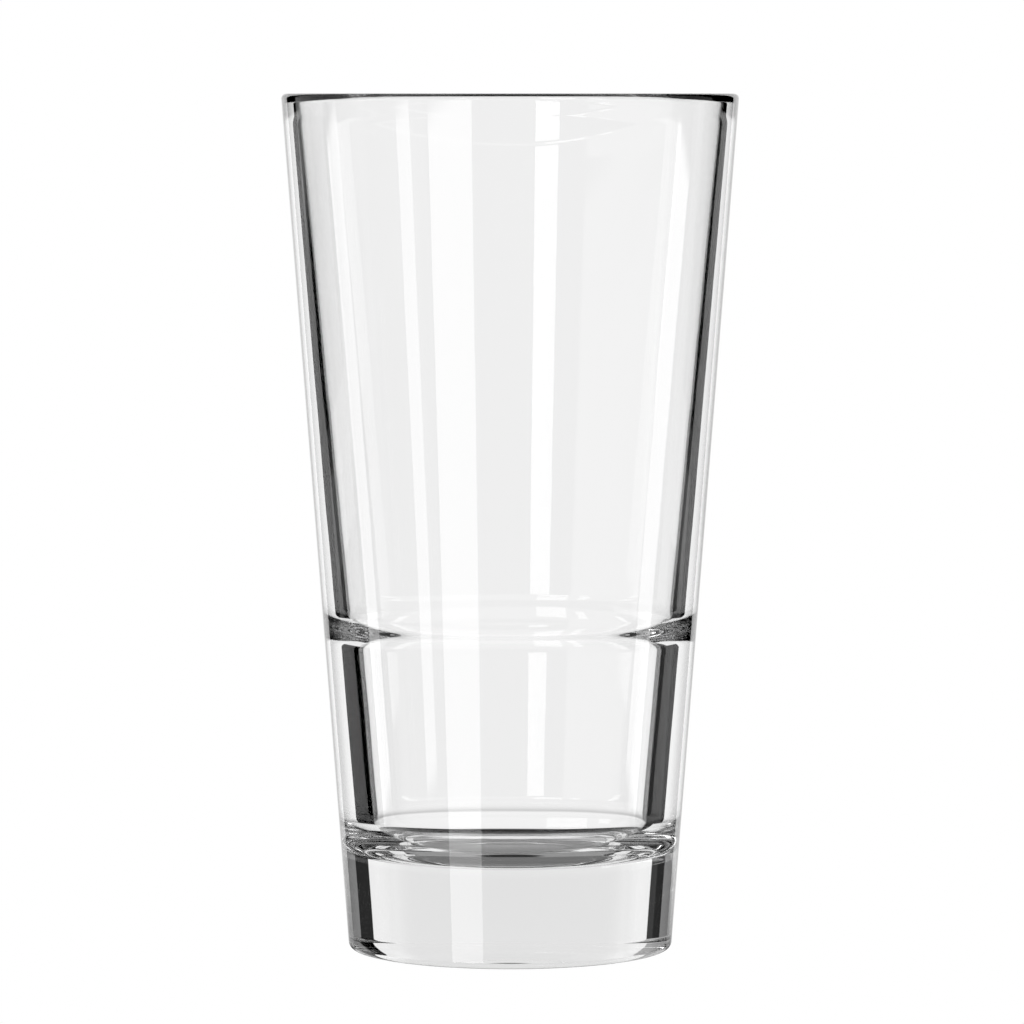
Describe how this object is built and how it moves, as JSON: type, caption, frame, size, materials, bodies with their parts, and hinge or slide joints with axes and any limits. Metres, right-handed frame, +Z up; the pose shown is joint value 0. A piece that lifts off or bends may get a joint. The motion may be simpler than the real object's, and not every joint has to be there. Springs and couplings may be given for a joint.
{
  "type": "beer glass",
  "caption": "Tall tapered clear beer glass with a rounded lip, a stacking shoulder inside the wall and a thick solid base.",
  "frame": {"origin": "centre of the foot, on the plane that the glass stands on", "axes": "+Z up along the glass's axis of revolution; X and Y level, with no preferred direction"},
  "size_m": [0.0916, 0.0916, 0.172],
  "materials": {
    "clear_glass": "clear soda-lime glass, fire-polished"
  },
  "bodies": {
    "root": {"foot": "clear_glass", "base": "clear_glass", "lower_wall": "clear_glass", "stacking_shoulder": "clear_glass", "upper_wall": "clear_glass", "rim": "clear_glass"}
  },
  "joints": []
}
